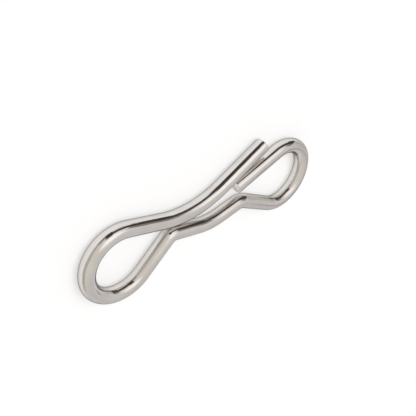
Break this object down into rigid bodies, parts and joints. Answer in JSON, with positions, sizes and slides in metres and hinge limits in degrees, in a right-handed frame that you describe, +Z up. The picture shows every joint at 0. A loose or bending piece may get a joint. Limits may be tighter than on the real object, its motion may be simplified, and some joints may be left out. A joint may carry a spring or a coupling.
{
  "type": "spring locking pin",
  "caption": "Flat bow-tie locking pin bent from round spring wire, with a straight shank for a shaft's cross hole and a looped clasp leg that springs round the shaft.",
  "frame": {"origin": "on the surface that the pin lies on, under the middle of its outline", "axes": "+X along the length, from the spring loop to the latch loop; +Y across the pin, towards the tip of the shank; +Z up, out of the plane of the bends"},
  "size_m": [0.046, 0.0158, 0.0025],
  "materials": {
    "spring_steel": "bright drawn and polished"
  },
  "bodies": {
    "root": {"spring_wire": "spring_steel"}
  },
  "joints": []
}
